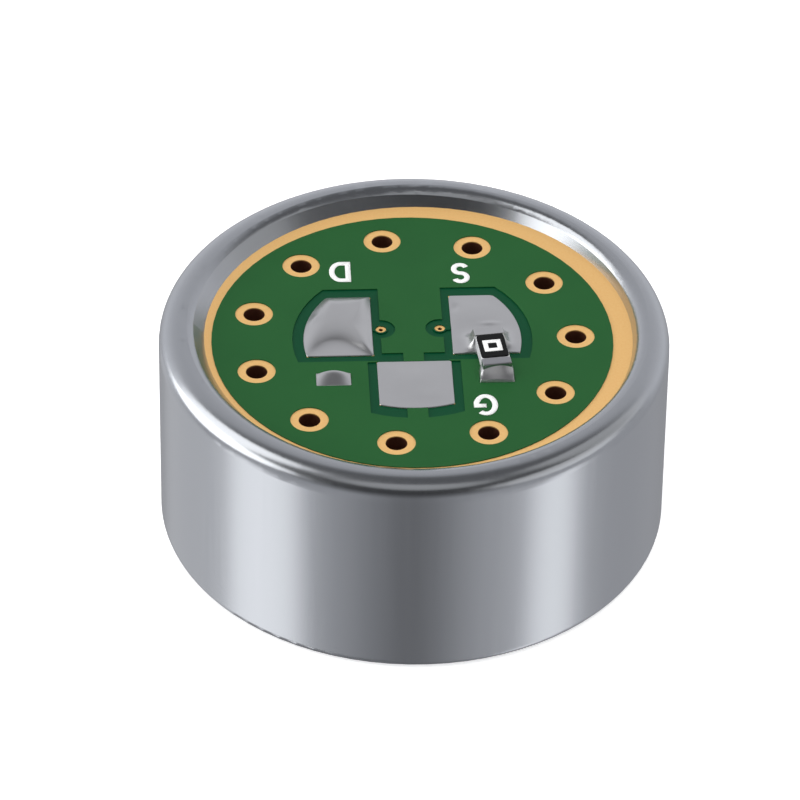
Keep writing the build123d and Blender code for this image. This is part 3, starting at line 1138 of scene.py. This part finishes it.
@dataclass
class InnerStack:
    """What the can holds between its inlet face and the board."""

    finishes: Palette

    def build(self) -> None:
        """Dresses the stack's nodes."""
        finishes = self.finishes
        dress(finishes.screen, "dust_screen")
        dress(finishes.brass, "diaphragm_ring", "back_plate", "contact_ring")
        dress(finishes.film, "diaphragm")
        dress(finishes.clear, "diaphragm_spacer", "electret_film")
        dress(finishes.moulding, "plate_holder", "transistor_body")
        dress(finishes.felt, "damping_ring")
        dress(finishes.tin, "inner_solder")
        dress(finishes.tinned, "transistor_leads", "capacitor_terminals")
        dress(finishes.capacitor, "capacitor_bodies")


# Studio


class PanelShape(Enum):
    """The outline of a light panel, by Blender's name, with its share of the box round it."""

    SQUARE = ("RECTANGLE", 1.0)
    ROUND = ("ELLIPSE", math.pi / 4)


@dataclass(frozen=True)
class Panel:
    """A soft light panel that faces the capsule.

    Azimuth is nought on the camera's side and grows to the right. The spreads are the angles
    from the panel's middle to its side and to its top, as seen from the capsule.
    """

    name: str
    azimuth_deg: float
    elevation_deg: float
    side_spread_deg: float
    top_spread_deg: float
    radiance: float
    roll_deg: float = 0.0
    shape: PanelShape = PanelShape.ROUND
    mirrored: bool = True
    distance: float = 150.0

    def light_up(self) -> None:
        """Adds the light to the scene. Its power is pi * area * radiance."""
        light = bpy.data.lights.new(self.name, "AREA")
        light.shape, share = self.shape.value
        light.size = 2 * self.distance * math.tan(math.radians(self.side_spread_deg)) * MM
        light.size_y = 2 * self.distance * math.tan(math.radians(self.top_spread_deg)) * MM
        light.energy = math.pi * share * light.size * light.size_y * self.radiance
        azimuth, elevation = math.radians(self.azimuth_deg), math.radians(self.elevation_deg)
        level = math.cos(elevation)
        away = Vector((math.sin(azimuth) * level, -math.cos(azimuth) * level, math.sin(elevation)))
        lamp = bpy.data.objects.new(self.name, light)
        bpy.context.scene.collection.objects.link(lamp)
        lamp.location = away * self.distance * MM
        facing = (-away).to_track_quat("-Z", "Y")
        rolled = facing @ Matrix.Rotation(math.radians(self.roll_deg), 3, "Z").to_quaternion()
        lamp.rotation_euler = rolled.to_euler()
        lamp.visible_camera = False
        lamp.visible_glossy = self.mirrored


@dataclass
class Studio:
    """Camera, pale floor and soft light. The world's limits are parts of a unit direction."""

    # White paper: flat and bright, with hardly any grain. Its glow keeps it white.
    paper: Finish = Grained(
        "white_paper", "chip_ceramic", "#f6f6f6", "#f8f8f8", 0.9, 0.4, relief=0.0
    )
    glow: float = 0.6
    focal_px: float = 6005.05
    distance: float = 166.33
    elevation_deg: float = 38.971
    roll_deg: float = 0.883
    aim_right: float = -0.355
    aim_up: float = 0.543
    aim_height: float = 3.0
    clip_near: float = 1.0
    clip_far: float = 10000.0
    floor_radius: float = 420.0
    floor_drop: float = 0.02
    cove_radius: float = 160.0
    room_colour: str = "#f7f8fd"
    room_light: tuple[float, float] = (0.05, 0.13)
    room_rise: tuple[float, float] = (0.5, 0.9)
    wall_light: tuple[float, float] = (0.40, 0.74)
    wall_rise: tuple[float, float] = (-0.6, -0.05)
    wall_fall: float = 0.28
    wall_side: tuple[float, float] = (0.15, 0.50)
    low_light: tuple[float, float] = (0.16, 0.47)
    low_fall: tuple[float, float] = (0.3, -0.1)
    side_reach: float = 0.45
    panels: tuple[Panel, ...] = (
        Panel("left_key", -90, 35, 16, 29, 1.6, roll_deg=-34),
        Panel("left_fill", -85, 10, 34, 13, 2.1, roll_deg=17),
        Panel("left_box", -69, -40, 15, 26, 0.9),
        Panel("left_card", -118, -38, 24, 24, 0.18),
        Panel("right_key", 90, 32, 15, 30, 0.4, roll_deg=34),
        Panel("right_fill", 62, 14, 30, 12, 0.6, roll_deg=-17),
        Panel("right_box", 66, -40, 9, 26, 0.8),
        Panel("right_card", 54, -40, 26, 26, 0.06),
        Panel("front_panel", 0, 52, 26, 13, 0.34),
        Panel("ceiling_panel", 0, 90, 35, 35, 1.5, shape=PanelShape.SQUARE, mirrored=False),
    )

    def add_camera(self) -> None:
        """Places the camera from the fitted view.

        The camera looks down by the elevation, is rolled about its own axis, and its lens is
        the focal length in pixels times sensor / image side.
        """
        elevation, roll = math.radians(self.elevation_deg), math.radians(self.roll_deg)
        back = Vector((0, -math.cos(elevation), math.sin(elevation)))
        level = Vector((1, 0, 0))
        upright = back.cross(level)
        right = math.cos(roll) * level + math.sin(roll) * upright
        up = -math.sin(roll) * level + math.cos(roll) * upright
        eye = Vector((0, 0, self.aim_height))
        eye += self.aim_right * right + self.aim_up * up + self.distance * back
        data = bpy.data.cameras.new("camera")
        data.sensor_width = SENSOR_MM
        data.lens = self.focal_px / IMAGE_SIDE * SENSOR_MM
        data.clip_start, data.clip_end = self.clip_near * MM, self.clip_far * MM
        camera = bpy.data.objects.new("camera", data)
        bpy.context.scene.collection.objects.link(camera)
        turn = Matrix((right, up, back)).transposed().to_4x4()
        camera.matrix_world = Matrix.Translation(eye * MM) @ turn
        bpy.context.scene.camera = camera

    def add_floor(self) -> None:
        """Lays a pale floor that curves up into a wall far from the capsule.

        Ring k lies at (r, z): flat out to floor_radius, then a quarter circle of cove_radius.
        The last pole, which would close it overhead, is left out with its faces.
        """
        bend = np.linspace(0, np.pi / 2, 16)[1:]
        flat = np.linspace(0.02, 1, 12) * self.floor_radius
        r = np.concatenate([flat, self.floor_radius + self.cove_radius * np.sin(bend)])[:, None]
        z = np.concatenate([np.zeros_like(flat), self.cove_radius * (1 - np.cos(bend))])[:, None]
        t = np.linspace(0, 2 * np.pi, 96, endpoint=False)
        rings = np.stack([r * np.cos(t), r * np.sin(t), z - self.floor_drop + 0 * t], axis=-1)
        skin = Skin.over_rings(rings)
        pole = len(skin.points) - 1
        bowl = Skin(skin.points[:pole], [face for face in skin.faces if pole not in face])
        floor = add_object("floor", bowl, self.paper)
        shader = floor.data.materials[0].node_tree.nodes["Principled BSDF"]
        shader.inputs["Emission Color"].default_value = linear("#ffffff")
        shader.inputs["Emission Strength"].default_value = self.glow
        floor.visible_glossy = False

    def add_world(self) -> None:
        """Makes a dim room with a pale wall behind the capsule and a paler lower half.

        The light is a function of direction. It goes from the room's, brighter overhead, to
        the wall's, which rises from its foot and falls towards its top. Low down it is at least
        low_light, from its first value in front to its second at the sides.
        """
        world = bpy.data.worlds.new("room")
        world.use_nodes = True
        tree = world.node_tree
        place = tree.nodes.new("ShaderNodeTexCoord").outputs["Generated"]
        look = Shading(tree, tree.nodes["Background"], place)
        way = look.add("SeparateXYZ", {"Vector": place}).outputs
        aside = look.add("Math", (way["X"],), operation="ABSOLUTE").outputs[0]
        rise, fall, room, sides, low = (
            look.add("MapRange", limits).outputs["Result"]
            for limits in (
                (way["Z"], *self.wall_rise, *self.wall_light),
                (way["Z"], 0.0, 1.0, 0.0, self.wall_fall),
                (way["Z"], *self.room_rise, *self.room_light),
                (aside, 0.0, self.side_reach, *self.low_light),
                (way["Z"], *self.low_fall),
            )
        )
        wall = look.add("Math", (rise, fall), operation="SUBTRACT").outputs[0]
        limits = (way["Y"], *self.wall_side, room, wall)
        behind = look.add("MapRange", limits, interpolation_type="SMOOTHSTEP").outputs["Result"]
        paler = look.add("Math", (behind, sides), operation="MAXIMUM").outputs[0]
        mixed = {SHARE: low, NUMBER_A: behind, NUMBER_B: paler}
        light = look.add("Mix", mixed, data_type="FLOAT").outputs[NUMBER_OUT]
        look.feed(look.shader, {"Color": linear(self.room_colour), "Strength": light})
        bpy.context.scene.world = world

    def build(self) -> None:
        """Sets up the camera, the lights and the floor."""
        self.add_camera()
        self.add_floor()
        self.add_world()
        for panel in self.panels:
            panel.light_up()
        bpy.context.scene.view_settings.view_transform = "Standard"
        log.info("studio: %d panels", len(self.panels))


def main() -> None:
    """Builds the studio and dresses the capsule, sub-assembly by sub-assembly."""
    logging.basicConfig(level=logging.INFO, format="%(name)s %(message)s")
    place = BoardPlace()
    finishes = Palette(place)
    chip = ChipResistor(place)
    Studio().build()
    Can(finishes).build()
    TerminalBoard(place, finishes).build()
    TinWork(place, finishes, chip).build()
    chip.build(finishes)
    InnerStack(finishes).build()


if __name__ == "__main__":
    main()
